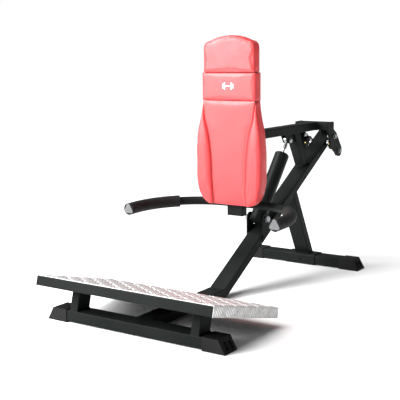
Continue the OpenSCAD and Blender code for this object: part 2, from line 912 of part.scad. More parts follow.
front_cross_tube();
front_foot_caps();
platform_posts();
platform_front_bar();
platform_rear_bars();
platform_bearers();
checker_plate();
base_beam();
main_beam();
beam_end_cap();
pivot_boss();
pivot_shaft();
bearing_inserts();
upper_stop_post();
upper_stop_bumper();
rear_leg();
rear_sleeve();
sleeve_screw();
rear_cross_tube();
rear_foot_caps();
clevis_plates();
clevis_bolt();
clevis_nut();
clevis_washers();
lever_arm();
head_box();
head_plates();
bearing_housings();
bearing_bolts();
bearing_nuts();
grease_nipples();
stop_tube();
stop_bumper();
rod_bracket();
rod_bolt();
rod_nut();
mast();
mast_end_caps();
handlebar();
handle_grips();
grip_end_caps();
pad_board();
pad_bolts();
back_cushion();
head_cushion();
pad_band();
cylinder_base();
cylinder_bushes();
cylinder_barrel();
cylinder_gland();
piston();
piston_rod();
rod_eye();
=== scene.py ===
import json
import math

import bmesh
import bpy
import numpy as np
from mathutils import Matrix, Vector
from mathutils.bvhtree import BVHTree


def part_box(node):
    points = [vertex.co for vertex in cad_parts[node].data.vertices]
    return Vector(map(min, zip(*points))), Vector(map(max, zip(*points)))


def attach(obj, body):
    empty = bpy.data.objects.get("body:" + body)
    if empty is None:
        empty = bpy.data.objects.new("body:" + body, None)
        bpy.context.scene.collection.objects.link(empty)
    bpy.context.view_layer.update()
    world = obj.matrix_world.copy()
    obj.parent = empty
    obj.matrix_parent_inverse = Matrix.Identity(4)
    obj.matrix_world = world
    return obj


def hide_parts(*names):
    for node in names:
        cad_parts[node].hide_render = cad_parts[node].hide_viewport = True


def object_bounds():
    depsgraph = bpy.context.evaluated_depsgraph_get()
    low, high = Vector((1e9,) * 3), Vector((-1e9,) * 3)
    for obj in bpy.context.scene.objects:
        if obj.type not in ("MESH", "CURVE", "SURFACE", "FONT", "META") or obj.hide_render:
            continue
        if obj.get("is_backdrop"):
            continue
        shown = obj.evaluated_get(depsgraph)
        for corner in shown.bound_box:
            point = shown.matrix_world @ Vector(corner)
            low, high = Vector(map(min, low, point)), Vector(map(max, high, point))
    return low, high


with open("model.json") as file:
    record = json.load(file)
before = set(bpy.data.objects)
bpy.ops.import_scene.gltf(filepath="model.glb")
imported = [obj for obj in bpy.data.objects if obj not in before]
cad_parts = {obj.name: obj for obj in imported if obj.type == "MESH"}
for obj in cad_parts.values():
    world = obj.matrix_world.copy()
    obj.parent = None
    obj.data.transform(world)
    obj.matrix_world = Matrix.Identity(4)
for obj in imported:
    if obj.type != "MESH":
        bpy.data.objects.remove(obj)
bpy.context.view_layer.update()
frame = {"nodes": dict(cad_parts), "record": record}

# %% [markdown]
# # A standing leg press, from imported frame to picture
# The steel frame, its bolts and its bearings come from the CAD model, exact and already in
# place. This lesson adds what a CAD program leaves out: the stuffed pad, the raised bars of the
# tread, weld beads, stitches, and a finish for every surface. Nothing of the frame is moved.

nodes_of_frame = frame["nodes"]

# %% [markdown]
# The machine is easiest to think of in millimetres, measured back from the front foot. One
# helper turns such a place into the frame's metres, so that every later cell can use the
# numbers a workshop drawing would have.

# %% Places on the machine
MM = 0.001
FOOT_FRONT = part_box("front_foot_caps")[0].y


def at(x, y, z):
    return Vector((x * MM, FOOT_FRONT + y * MM, z * MM))


def new_object(name, mesh, body, material):
    piece = bpy.data.objects.new(name, mesh)
    bpy.context.scene.collection.objects.link(piece)
    mesh.materials.clear()
    mesh.materials.append(material)
    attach(piece, body)
    return piece


def mesh_from(bm, name, smooth=True):
    bmesh.ops.recalc_face_normals(bm, faces=bm.faces)
    for face in bm.faces:
        face.smooth = smooth
    mesh = bpy.data.meshes.new(name)
    bm.to_mesh(mesh)
    bm.free()
    return mesh


def applied(piece):
    graph = bpy.context.evaluated_depsgraph_get()
    mesh = bpy.data.meshes.new_from_object(piece.evaluated_get(graph))
    piece.modifiers.clear()
    piece.data = mesh
    return mesh


# %% [markdown]
# ## Finishes
# Each finish is a small node graph. All of them start the same way: a Principled shader, and
# the place on the piece in metres, so that a grain of half a millimetre is half a millimetre
# on a bolt and on a beam. The helpers below are the few moves that every graph needs.

# %% Helpers for node graphs
def start_material(name):
    material = bpy.data.materials.new(name)
    material.use_nodes = True
    tree = material.node_tree
    tree.nodes.clear()
    shader = tree.nodes.new("ShaderNodeBsdfPrincipled")
    tree.links.new(shader.outputs[0], tree.nodes.new("ShaderNodeOutputMaterial").inputs[0])
    place = tree.nodes.new("ShaderNodeTexCoord").outputs["Object"]
    return material, tree, shader, place


def turned(tree, place, scale=(1, 1, 1), angle=0.0):
    mapping = tree.nodes.new("ShaderNodeMapping")
    mapping.inputs["Rotation"].default_value = (angle, 0, 0)
    mapping.inputs["Scale"].default_value = scale
    tree.links.new(place, mapping.inputs["Vector"])
    return mapping.outputs[0]


def noise(tree, place, per_metre, detail=2.0, rough=0.5):
    node = tree.nodes.new("ShaderNodeTexNoise")
    node.inputs["Scale"].default_value = per_metre
    node.inputs["Detail"].default_value = detail
    node.inputs["Roughness"].default_value = rough
    tree.links.new(place, node.inputs["Vector"])
    return node.outputs["Fac"]


def cells(tree, place, per_metre, feature="DISTANCE_TO_EDGE"):
    node = tree.nodes.new("ShaderNodeTexVoronoi")
    node.feature = feature
    node.inputs["Scale"].default_value = per_metre
    tree.links.new(place, node.inputs["Vector"])
    return node.outputs["Distance"]


def remap(tree, value, low, high, to_low=0.0, to_high=1.0):
    node = tree.nodes.new("ShaderNodeMapRange")
    for socket, number in zip(node.inputs[1:5], (low, high, to_low, to_high)):
        socket.default_value = number
    tree.links.new(value, node.inputs[0])
    return node.outputs[0]


def sum_of(tree, a, b, operation="ADD"):
    node = tree.nodes.new("ShaderNodeMath")
    node.operation = operation
    for socket, value in zip(node.inputs, (a, b)):
        if isinstance(value, (int, float)):
            socket.default_value = value
        else:
            tree.links.new(value, socket)
    return node.outputs[0]


def mixed(tree, factor, a, b):
    node = tree.nodes.new("ShaderNodeMix")
    node.data_type = "RGBA"
    tree.links.new(factor, node.inputs[0])
    for socket, colour in ((node.inputs[6], a), (node.inputs[7], b)):
        if isinstance(colour, tuple):
            socket.default_value = (*colour, 1)
        else:
            tree.links.new(colour, socket)
    return node.outputs[2]


def bump(tree, height, depth_mm, strength=1.0, under=None):
    node = tree.nodes.new("ShaderNodeBump")
    node.inputs["Distance"].default_value = depth_mm * MM
    node.inputs["Strength"].default_value = strength
    tree.links.new(height, node.inputs["Height"])
    if under is not None:
        tree.links.new(under, node.inputs["Normal"])
    return node.outputs[0]


# %% [markdown]
# No real edge is perfectly sharp. The Bevel node rounds the shading across an edge without
# touching the CAD mesh, and where its direction differs from the face's own there is an edge,
# so the same node also says where paint wears thin.

# %% Rounded and worn edges
def soft_edges(tree, radius_mm):
    bevel = tree.nodes.new("ShaderNodeBevel")
    bevel.samples = 4
    bevel.inputs["Radius"].default_value = radius_mm * MM
    dot = tree.nodes.new("ShaderNodeVectorMath")
    dot.operation = "DOT_PRODUCT"
    tree.links.new(bevel.outputs[0], dot.inputs[0])
    tree.links.new(tree.nodes.new("ShaderNodeNewGeometry").outputs["Normal"], dot.inputs[1])
    return bevel.outputs[0], remap(tree, dot.outputs["Value"], 0.97, 0.80)


# %% [markdown]
# Powder coat is a baked plastic skin: satin, never quite even, with a fine orange peel and a
# slightly polished look where hands and shoes rub its edges. The same recipe with other
# numbers gives moulded plastic and painted castings, so it is one function. The grips' end
# plugs are the same plastic, with a lighter moulded face on the last millimetre.

# %% Coatings and plastics
def coating(name, base, second, rough, peel_mm, peel_size, edge, edge_radius=1.2, shine=0.06):
    material, tree, shader, place = start_material(name)
    clouds = noise(tree, place, 9, 3)
    normal, on_edge = soft_edges(tree, edge_radius)
    patchy = sum_of(tree, on_edge, remap(tree, noise(tree, place, 70, 4), 0.42, 0.62), "MULTIPLY")
    colour = mixed(tree, remap(tree, clouds, 0.3, 0.7), base, second)
    tree.links.new(mixed(tree, patchy, colour, edge), shader.inputs["Base Color"])
    smears = remap(tree, noise(tree, place, 35, 4, 0.65), 0.3, 0.7, rough - 0.05, rough + 0.07)
    tree.links.new(smears, shader.inputs["Roughness"])
    peel = noise(tree, place, peel_size, 2)
    tree.links.new(bump(tree, peel, peel_mm, 0.5, normal), shader.inputs["Normal"])
    shader.inputs["Specular IOR Level"].default_value = shine
    return material


POWDER = coating("powder_coat", (0.0065, 0.0082, 0.0074), (0.0095, 0.0112, 0.0102), 0.44, 0.10,
                 650, (0.05, 0.055, 0.052))
MOULDED = coating("moulded_plastic", (0.006, 0.006, 0.006), (0.009, 0.009, 0.009), 0.52, 0.12,
                  1500, (0.035, 0.035, 0.035), 1.5, 0.15)
CASTING = coating("painted_casting", (0.008, 0.0095, 0.0095), (0.013, 0.0145, 0.014), 0.50, 0.30,
                  420, (0.06, 0.065, 0.062), 1.5)
CYLINDER = coating("cylinder_paint", (0.007, 0.008, 0.008), (0.010, 0.011, 0.011), 0.42, 0.04,
                   700, (0.06, 0.065, 0.065), 0.8, 0.15)
RUBBER = coating("buffer_rubber", (0.006, 0.006, 0.006), (0.010, 0.010, 0.0095), 0.72, 0.10, 900,
                 (0.03, 0.03, 0.03), 2.0, 0.2)
GRIP = coating("grip_foam", (0.0095, 0.009, 0.009), (0.014, 0.0135, 0.013), 0.68, 0.20, 1300,
               (0.03, 0.029, 0.028), 2.0, 0.2)


def faced_cap(name):
    material = coating(name, (0.010, 0.010, 0.0105), (0.014, 0.014, 0.0145), 0.40, 0.05, 900,
                       (0.05, 0.05, 0.05), 1.0)
    tree = material.node_tree
    shader = next(n for n in tree.nodes if n.type == "BSDF_PRINCIPLED")
    under = shader.inputs["Base Color"].links[0].from_socket
    split = tree.nodes.new("ShaderNodeSeparateXYZ")
    tree.links.new(tree.nodes.new("ShaderNodeTexCoord").outputs["Object"], split.inputs[0])
    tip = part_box("grip_end_caps")[0].y
    on_face = remap(tree, split.outputs[1], tip + 1.4 * MM, tip + 1.0 * MM)
    tree.links.new(mixed(tree, on_face, under, (0.16, 0.16, 0.165)),
                   shader.inputs["Base Color"])
    return material


GRIP_CAP = faced_cap("grip_cap")
print("dark finishes:", [m.name for m in (POWDER, MOULDED, CASTING, CYLINDER, RUBBER, GRIP)])

# %% [markdown]
# Bare metals need a different recipe. Their colour is the colour of their reflection, so most
# of the detail is in the roughness: brush lines on rolled sheet, cloudy crystals on zinc
# plating, fine turning marks on the brass.

# %% Bare metals
def bare_metal(name, base, second, rough, spread, per_metre, scratch_mm, stretch=(1, 1, 1),
               angle=0.0, edge_radius=0.6):
    material, tree, shader, place = start_material(name)
    lie = turned(tree, place, stretch, angle)
    normal, on_edge = soft_edges(tree, edge_radius)
    marks = noise(tree, lie, per_metre, 4, 0.6)
    colour = mixed(tree, remap(tree, noise(tree, place, 60, 3), 0.3, 0.7), base, second)
    bright = tuple(min(1.0, channel * 1.25) for channel in base)
    tree.links.new(mixed(tree, on_edge, colour, bright), shader.inputs["Base Color"])
    tree.links.new(remap(tree, marks, 0.3, 0.7, rough - spread, rough + spread),
                   shader.inputs["Roughness"])
    tree.links.new(bump(tree, marks, scratch_mm, 0.4, normal), shader.inputs["Normal"])
    shader.inputs["Metallic"].default_value = 1.0
    return material


PLATE_SLOPE = math.radians(14.7)
ZINC = bare_metal("zinc_plate", (0.40, 0.41, 0.42), (0.28, 0.29, 0.30), 0.36, 0.10, 900, 0.03)
CHROME = bare_metal("chrome_rod", (0.78, 0.78, 0.80), (0.74, 0.74, 0.76), 0.10, 0.04, 300, 0.01)
BRASS = bare_metal("turned_brass", (0.78, 0.60, 0.26), (0.66, 0.48, 0.19), 0.28, 0.08, 1200, 0.03)
TREAD = bare_metal("rolled_aluminium", (0.58, 0.58, 0.58), (0.47, 0.47, 0.47), 0.64, 0.08, 500,
                   0.05, (0.12, 1, 1), PLATE_SLOPE)
# The raised bars get a lighter copy of the plate's aluminium.
TREAD_BARS = bare_metal("lighter_bar_aluminium", (0.72, 0.72, 0.71), (0.62, 0.62, 0.62), 0.56, 0.08,
                        500, 0.04, (0.12, 1, 1), PLATE_SLOPE)
print("metals:", [m.name for m in (ZINC, CHROME, BRASS, TREAD, TREAD_BARS)])

# %% [markdown]
# The pad's cover is coated fabric pressed with a fine hide grain. Small Voronoi cells give the
# pores and creases, a second noise lets their depth vary, and the roughness is kept in the
# middle, where a lamp shows as the soft haze of light that such a cover has.

# %% Cover, thread, board and print
def grained_cover(name, base, second):
    material, tree, shader, place = start_material(name)
    colour = mixed(tree, remap(tree, noise(tree, place, 14, 4), 0.3, 0.7), base, second)
    pores = remap(tree, cells(tree, place, 620), 0.0, 0.12)
    creases = remap(tree, cells(tree, place, 230), 0.0, 0.10)
    grain = sum_of(tree, pores, sum_of(tree, creases, 0.6, "MULTIPLY"))
    dark = tuple(channel * 0.72 for channel in base)
    # Painted shade: the cover's colour turns darker where the mesh marks a seam groove or a fold
    # at the band's ends.
    crease_shade = tree.nodes.new("ShaderNodeAttribute")
    crease_shade.attribute_name = "crease_shade"
    crease_shade_colour = tuple(channel * 0.4 for channel in base)
    grained = mixed(tree, pores, dark, colour)
    tree.links.new(mixed(tree, crease_shade.outputs["Fac"], grained, crease_shade_colour),
                   shader.inputs["Base Color"])
    tree.links.new(remap(tree, noise(tree, place, 25, 3), 0.3, 0.7, 0.37, 0.47),
                   shader.inputs["Roughness"])
    swell = bump(tree, noise(tree, place, 45, 2), 0.8, 0.25)
    tree.links.new(bump(tree, grain, 0.12, 0.45, swell), shader.inputs["Normal"])
    shader.inputs["Specular IOR Level"].default_value = 0.55
    shader.inputs["Sheen Weight"].default_value = 0.03
    shader.inputs["Sheen Roughness"].default_value = 0.5
    return material


def plywood(name):
    material, tree, shader, place = start_material(name)
    along = turned(tree, place, (9, 9, 1))
    fibre = noise(tree, along, 22, 5, 0.6)
    layers = remap(tree, noise(tree, turned(tree, place, (1, 60, 1)), 12, 1), 0.45, 0.55)
    wood = mixed(tree, remap(tree, fibre, 0.3, 0.7), (0.34, 0.23, 0.13), (0.50, 0.36, 0.21))
    tree.links.new(mixed(tree, layers, wood, (0.40, 0.28, 0.16)), shader.inputs["Base Color"])
    tree.links.new(remap(tree, fibre, 0.3, 0.7, 0.55, 0.72), shader.inputs["Roughness"])
    tree.links.new(bump(tree, fibre, 0.2, 0.5), shader.inputs["Normal"])
    return material


COVER = grained_cover("coral_cover", (0.76, 0.044, 0.049), (0.82, 0.054, 0.060))
THREAD = coating("sewing_thread", (0.62, 0.05, 0.055), (0.72, 0.07, 0.07), 0.6, 0.06, 2500,
                 (0.75, 0.12, 0.12), 0.3)
PRINT = coating("white_print", (0.82, 0.82, 0.82), (0.78, 0.78, 0.78), 0.45, 0.02, 900,
                (0.85, 0.85, 0.85), 0.3)
BOARD = plywood("pad_plywood")

# %% [markdown]
# Each CAD node now gets its finish. The record's own slot names say which node is made of
# what, so the list of finishes follows them.

# %% Finishes on the frame's nodes
FINISHES = {
    "frame_black": POWDER, "foot_plastic": MOULDED, "plug_plastic": MOULDED,
    "tread_aluminium": TREAD, "zinc_steel": ZINC, "black_rubber": RUBBER,
    "bearing_cast": CASTING, "nipple_brass": BRASS, "grip_rubber": GRIP, "grip_cap": GRIP_CAP,
    "board_wood": BOARD, "red_vinyl": COVER, "cylinder_black": CYLINDER, "rod_chrome": CHROME,
}
slot_of = {part["node"]: part["material_slot"] for part in frame["record"]["subparts"]}
for name, node in nodes_of_frame.items():
    for socket in node.material_slots:
        socket.material = FINISHES[slot_of[name]]
print("nodes with a finish:", len(nodes_of_frame))

# %% [markdown]
# ## Tread bars
# The platform is rolled aluminium plate with raised bars in groups of five, each group square
# to its neighbours and all of them at 45 degrees to the plate's edges. One bar is a stretched
# ball cut off at the plate's surface. Four groups make one cell of the pattern, two Array
# modifiers repeat the cell, and bisect_plane trims the lattice where the sheet ends, so no bar
# hangs over an edge.

# %% One lattice of bars
TILE = 58 * MM
BARS_IN_TILE = 5
BAR_LENGTH, BAR_WIDTH, BAR_HEIGHT = 50 * MM, 6.0 * MM, 1.6 * MM
SUNK = 0.2 * MM


def one_group(bm, i, j):
    for k in range(BARS_IN_TILE):
        aside = (k - (BARS_IN_TILE - 1) / 2) * TILE / BARS_IN_TILE
        lie = (i + j) % 2 * math.pi / 2
        place = (Matrix.Translation((i * TILE, j * TILE, 0)) @ Matrix.Rotation(lie, 4, "Z")
                 @ Matrix.Translation((0, aside, 0))
                 @ Matrix.Diagonal((BAR_LENGTH / 2, BAR_WIDTH / 2, BAR_HEIGHT, 1)))
        bmesh.ops.create_uvsphere(bm, u_segments=10, v_segments=6, radius=1, matrix=place)


def bar_lattice(x0, x1, y0, y1):
    cell = bmesh.new()
    for i in (0, 1):
        for j in (0, 1):
            one_group(cell, i, j)
    sheet = bpy.data.objects.new("lattice", mesh_from(cell, "lattice"))
    bpy.context.scene.collection.objects.link(sheet)
    count = int(math.hypot(x1 - x0, y1 - y0) / (2 * TILE)) + 2
    for offset in ((2 * TILE, 0, 0), (0, 2 * TILE, 0)):
        rows = sheet.modifiers.new("rows", "ARRAY")
        rows.count, rows.use_relative_offset = count, False
        rows.use_constant_offset, rows.constant_offset_displace = True, offset
    bm = bmesh.new()
    bm.from_mesh(applied(sheet))
    bpy.data.objects.remove(sheet)
    turn = (Matrix.Translation(((x0 + x1) / 2, (y0 + y1) / 2, 0))
            @ Matrix.Rotation(math.pi / 4, 4, "Z")
            @ Matrix.Translation((-(count - 0.5) * TILE, -(count - 0.5) * TILE, 0)))
    bmesh.ops.transform(bm, matrix=turn, verts=bm.verts)
    cuts = [((0, 0, -SUNK), (0, 0, -1)), ((x0, 0, 0), (-1, 0, 0)), ((x1, 0, 0), (1, 0, 0)),
            ((0, y0, 0), (0, -1, 0)), ((0, y1, 0), (0, 1, 0))]
    for point, direction in cuts:
        every = bm.verts[:] + bm.edges[:] + bm.faces[:]
        cut = bmesh.ops.bisect_plane(bm, geom=every, plane_co=point, plane_no=direction,
                                     clear_outer=True)
        rim = [e for e in cut["geom_cut"] if isinstance(e, bmesh.types.BMEdge)]
        bmesh.ops.holes_fill(bm, edges=rim)
    return bm


# %% [markdown]
# The same sheet is folded down over both sides of the frame. So the flanges get the lattice
# too, turned a quarter about the fold.

# %% Bars on the plate and its two flanges
PLATE_HALF, PLATE_LENGTH, PLATE_DEPTH = 425 * MM, 480 * MM, 42 * MM
plate_corner = at(0, -58.9, 200)
to_plate = Matrix.Translation(plate_corner) @ Matrix.Rotation(-PLATE_SLOPE, 4, "X")
edge = 3 * MM  # bare margin round the pattern
tread = bar_lattice(-PLATE_HALF + edge, PLATE_HALF - edge, edge, PLATE_LENGTH - edge)
bmesh.ops.transform(tread, matrix=to_plate, verts=tread.verts)
top_mesh = mesh_from(tread, "tread_bars")
new_object("tread_bars", top_mesh, "frame", TREAD_BARS)
for side, name in ((1, "right"), (-1, "left")):
    flange = bar_lattice(edge, PLATE_DEPTH - edge, edge, PLATE_LENGTH - edge)
    fold = (Matrix.Diagonal((side, 1, 1, 1)) @ Matrix.Translation((PLATE_HALF, 0, 0))
            @ Matrix.Rotation(math.radians(90), 4, "Y"))
    bmesh.ops.transform(flange, matrix=to_plate @ fold, verts=flange.verts)
    new_object(f"flange_bars_{name}", mesh_from(flange, f"flange_bars_{name}"), "frame",
               TREAD_BARS)
print("faces in the tread:", len(top_mesh.polygons))

# %% [markdown]
# ## The pad
# The pad is foam on a board under a sewn cover: a head section, a band round it, and a back
# section whose two side bolsters stand proud of the middle. Each section starts as a copy of
# its CAD solid, which has the right outline. A voxel remesh gives it an even skin, a short
# cloth simulation with pressure inside tightens that skin as foam does, and a cap on how far
# any point may go keeps the pad to its size.

# %% From CAD solid to even skin
VOXEL = 4 * MM
PAD_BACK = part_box("back_cushion")[1].y
PAD_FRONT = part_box("back_cushion")[0].y
PAD_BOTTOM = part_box("back_cushion")[0].z
BOARD_DEPTH = 14 * MM


def points_of(mesh):
    flat = np.empty(len(mesh.vertices) * 3)
    mesh.vertices.foreach_get("co", flat)
    return flat.reshape(-1, 3)


def put_points(mesh, points):
    mesh.vertices.foreach_set("co", np.ascontiguousarray(points, dtype=float).ravel())
    mesh.update()


def even_skin(node, name):
    bm = bmesh.new()
    bm.from_mesh(nodes_of_frame[node].data)
    bmesh.ops.remove_doubles(bm, verts=bm.verts, dist=0.05 * MM)
    piece = bpy.data.objects.new(name, mesh_from(bm, name))
    bpy.context.scene.collection.objects.link(piece)
    remesh = piece.modifiers.new("skin", "REMESH")
    remesh.mode, remesh.voxel_size = "VOXEL", VOXEL
    applied(piece)
    return piece


# %% [markdown]
# The seams between the middle and the bolsters run from the outer edge under the band down to
# the bottom, closing in on the way. A few widths down the pad describe them, and everything
# that follows a seam asks the same function. The lower edge of the foam is tucked in a little.

# %% The seam lines
SEAM_HEIGHTS = [403, 415, 470, 525, 600, 640, 680, 732, 785, 833, 852]
SEAM_HALVES = [86, 85, 84, 88, 90, 94, 98, 108, 124, 131, 134]


def seam_half(z):
    return np.interp(z / MM, SEAM_HEIGHTS, SEAM_HALVES) * MM


def blend_in(value, low, high):
    t = np.clip((value - low) / (high - low), 0, 1)
    return t * t * (3 - 2 * t)


def raise_bolsters(points):
    x, y, z = points.T
    outside = np.abs(x) - seam_half(z)
    front = 1 - blend_in(y, PAD_FRONT, PAD_FRONT + 22 * MM)
    lower = 1 - blend_in(z, 0.70, 0.84)
    rise = blend_in(outside, -3 * MM, 9 * MM) * (2.5 + 8 * lower) * MM
    hollow = (1 - blend_in(outside, -12 * MM, 0)) * 1.5 * MM * lower
    tuck = (1 - blend_in(z, PAD_BOTTOM, PAD_BOTTOM + 90 * MM)) ** 2 * 9 * MM
    points[:, 1] -= front * (rise * blend_in(0.86 - z, 0, 0.03) - hollow - tuck)
    return points


# %% [markdown]
# The cloth settings are those of a firm, closed cover: pressure inside, no gravity, the back
# and the seams held. Twenty frames are enough for it to settle.

# %% Filling a section
BAND_LOW, BAND_HIGH = (corner.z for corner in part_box("pad_band"))
SETTLING_FRAMES = 20


def free_of_band(points):
    away = np.maximum(BAND_LOW - points[:, 2], points[:, 2] - BAND_HIGH)
    return blend_in(away, -1 * MM, 14 * MM)[:, None]


def soften(mesh, passes):
    bm = bmesh.new()
    bm.from_mesh(mesh)
    for _ in range(passes):
        bmesh.ops.smooth_vert(bm, verts=[v for v in bm.verts if v.co.y < PAD_BACK - BOARD_DEPTH],
                              factor=0.5, use_axis_x=True, use_axis_y=True, use_axis_z=True)
    bm.to_mesh(mesh)
    bm.free()


def fill_section(piece, held, cap_mm, rounding, ends=None):
    sharp = points_of(piece.data)
    soften(piece.data, rounding)
    share = np.ones((len(sharp), 1)) if ends is None else ends(sharp)
    before = sharp + (points_of(piece.data) - sharp) * share
    put_points(piece.data, before)
    group = piece.vertex_groups.new(name="held")
    group.add([int(i) for i in np.flatnonzero(held(before))], 1.0, "REPLACE")
    cloth = piece.modifiers.new("cover", "CLOTH")
    cloth.settings.quality = 5
    cloth.settings.mass = 0.3
    cloth.settings.tension_stiffness = 20
    cloth.settings.compression_stiffness = 20
    cloth.settings.bending_stiffness = 1.5
    cloth.settings.use_pressure = True
    cloth.settings.uniform_pressure_force = 4
    cloth.settings.effector_weights.gravity = 0
    cloth.settings.vertex_group_mass = "held"
    for step in range(1, SETTLING_FRAMES + 1):
        bpy.context.scene.frame_set(step)
    applied(piece)
    piece.vertex_groups.clear()
    bpy.context.scene.frame_set(1)
    soften(piece.data, 3)
    moved = points_of(piece.data) - before
    length = np.linalg.norm(moved, axis=1, keepdims=True)
    keep = np.minimum(1, cap_mm * MM / np.maximum(length, 1e-9))
    put_points(piece.data, before + moved * keep * share)
    print(piece.name, "swelled by up to", round(float(length.max() / MM), 1), "mm, capped")
    finer = piece.modifiers.new("finer", "SUBSURF")
    finer.levels = finer.render_levels = 1
    applied(piece)
    for face in piece.data.polygons:
        face.use_smooth = True
    return piece


# %% [markdown]
# A seam pulls the cover down into the foam, so after the filling each one becomes a narrow
# groove. How deep a point lies in a seam, or in the fold at an end of the band, is stored on
# the mesh, and the cover's colour is darkened there: painted shade in the grooves and folds.

# %% Grooves, and painted shade in the creases
def press_seams(points):
    x, y, z = points.T
    away = np.abs(np.abs(x) - seam_half(z))
    depth = 5.0 * MM * np.exp(-(away / (3.0 * MM)) ** 2) * blend_in(0.863 - z, 0, 0.02)
    front = 1 - blend_in(y, PAD_FRONT + 6 * MM, PAD_FRONT + 26 * MM)
    points[:, 1] += depth * front
    return points


# Painted shade: how deep each point lies in a seam groove or a band fold, where the cover is
# painted darker.
def paint_crease_shade(mesh, ends):
    x, y, z = points_of(mesh).T
    seam = np.exp(-((np.abs(x) - seam_half(z)) / (2.0 * MM)) ** 2) * (z < BAND_LOW)
    fold = sum(np.exp(-((z - end) / (2.4 * MM)) ** 2) for end in ends)
    front = 1 - blend_in(y, PAD_FRONT + 10 * MM, PAD_FRONT + 26 * MM)
    depth = np.clip(np.maximum(seam * front, fold), 0, 1)
    mesh.attributes.new("crease_shade", "FLOAT", "POINT").data.foreach_set("value", depth)


# %% [markdown]
# The back of each section is glued to the board, so those points are held while the foam
# fills. The back section's seams are held too. The head and back sections keep their shape
# where they pass under the band, so that no gap opens there.

# %% Three sections, filled and covered
def back_held(points):
    x, y, z = points.T
    on_seam = (np.abs(np.abs(x) - seam_half(z)) < 4 * MM) & (y < PAD_FRONT + 12 * MM)
    return (y > PAD_BACK - BOARD_DEPTH) | (on_seam & (z < 0.85))


def only_back(points):
    return points[:, 1] > PAD_BACK - BOARD_DEPTH


back = even_skin("back_cushion", "back_section")
put_points(back.data, raise_bolsters(points_of(back.data)))
fill_section(back, back_held, 4, 3, free_of_band)
put_points(back.data, press_seams(points_of(back.data)))

head = even_skin("head_cushion", "head_section")
fill_section(head, only_back, 2.5, 3, free_of_band)

band = even_skin("pad_band", "pad_sleeve")
fill_section(band, only_back, 1.2, 1)

for piece, node, fill in ((back, "back_cushion", 0.85), (head, "head_cushion", 0.85),
                          (band, "pad_band", 0.8)):
    paint_crease_shade(piece.data, (BAND_LOW, BAND_HIGH))
    piece.data.materials.clear()
    piece.data.materials.append(COVER)
    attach(piece, "arm")
    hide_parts(node)
print("faces in the back section:", len(back.data.polygons))

# %% [markdown]
# ## Stitches
# Lockstitch shows as a row of short threads. Each one is a thin ball stretched along the seam,
# laid on the cover by a ray from the front, so the row rises and falls with the foam.

# %% Rows of stitches
STITCH, STEP = 4.2 * MM, 6.5 * MM


def surface(*pieces):
    trees = []
    for piece in pieces:
        trees.append(BVHTree.FromPolygons([v.co for v in piece.data.vertices],
                                          [p.vertices for p in piece.data.polygons]))
    return trees


def lay_on(trees, x, z):
    hits = [tree.ray_cast(Vector((x, PAD_FRONT - 0.1, z)), Vector((0, 1, 0))) for tree in trees]
    hits = [hit for hit in hits if hit[0] is not None]
    return min(hits, key=lambda hit: hit[0].y)[:2] if hits else (None, None)


def stitch_row(bm, trees, path):
    travelled = 0.0
    for (xa, za), (xb, zb) in zip(path[:-1], path[1:]):
        along = Vector((xb - xa, 0, zb - za))
        while travelled < along.length:
            spot = Vector((xa, 0, za)) + along * (travelled / along.length)
            point, normal = lay_on(trees, spot.x, spot.z)
            travelled += STEP
            if point is None or normal.y > -0.5:
                continue
            side = along.normalized()
            side = (side - normal * side.dot(normal)).normalized()
            turn = Matrix((side, normal, side.cross(normal))).transposed().to_4x4()
            place = (Matrix.Translation(point - normal * 0.1 * MM) @ turn
                     @ Matrix.Diagonal((STITCH / 2, 0.55 * MM, 0.55 * MM, 1)))
            bmesh.ops.create_uvsphere(bm, u_segments=6, v_segments=5, radius=1, matrix=place)
        travelled -= along.length


threads = bmesh.new()
skins = surface(back)
for side in (1, -1):
    stitch_row(threads, skins, [(side * (float(seam_half(z * MM)) - 5 * MM), z * MM)
                                for z in range(846, 412, -6)])
band_low, band_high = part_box("pad_band")
skins = surface(band)
for z in (band_low.z + 5 * MM, band_high.z - 5 * MM):
    stitch_row(threads, skins, [(x * MM, z) for x in range(-124, 125, 4)])
new_object("stitches", mesh_from(threads, "stitches"), "arm", THREAD)

# %% [markdown]
# The band carries a small print. A plain dumbbell sign stands there: a bar and four plates,
# cut as thin slabs with eased corners and laid just above the cover.

# %% A plain dumbbell sign
sign = bmesh.new()
for x, width, height in ((0, 30, 5), (17, 6, 30), (-17, 6, 30), (25, 6, 20), (-25, 6, 20)):
    point, normal = lay_on(skins, x * MM, 0.927)
    place = (Matrix.Translation((x * MM, point.y - 0.05 * MM, 0.927))
             @ Matrix.Diagonal((width * MM, 0.5 * MM, height * MM, 1)))
    made = bmesh.ops.create_cube(sign, size=1, matrix=place)
    upright = [e for v in made["verts"] for e in v.link_edges
               if abs(e.verts[0].co.y - e.verts[1].co.y) > 0.3 * MM]
    bmesh.ops.bevel(sign, geom=list(set(upright)), offset=1.6 * MM, segments=4,
                    affect="EDGES", profile=0.5, material=-1)
new_object("dumbbell_sign", mesh_from(sign, "dumbbell_sign", False), "arm", PRINT)

# %% [markdown]
# ## Weld beads
# The tubes are welded, and each joint has a bead with the ripple that the torch leaves. A
# curve with round thickness follows the joint's outline. Its points are close together, and
# every other one is a little thinner, which is the ripple.

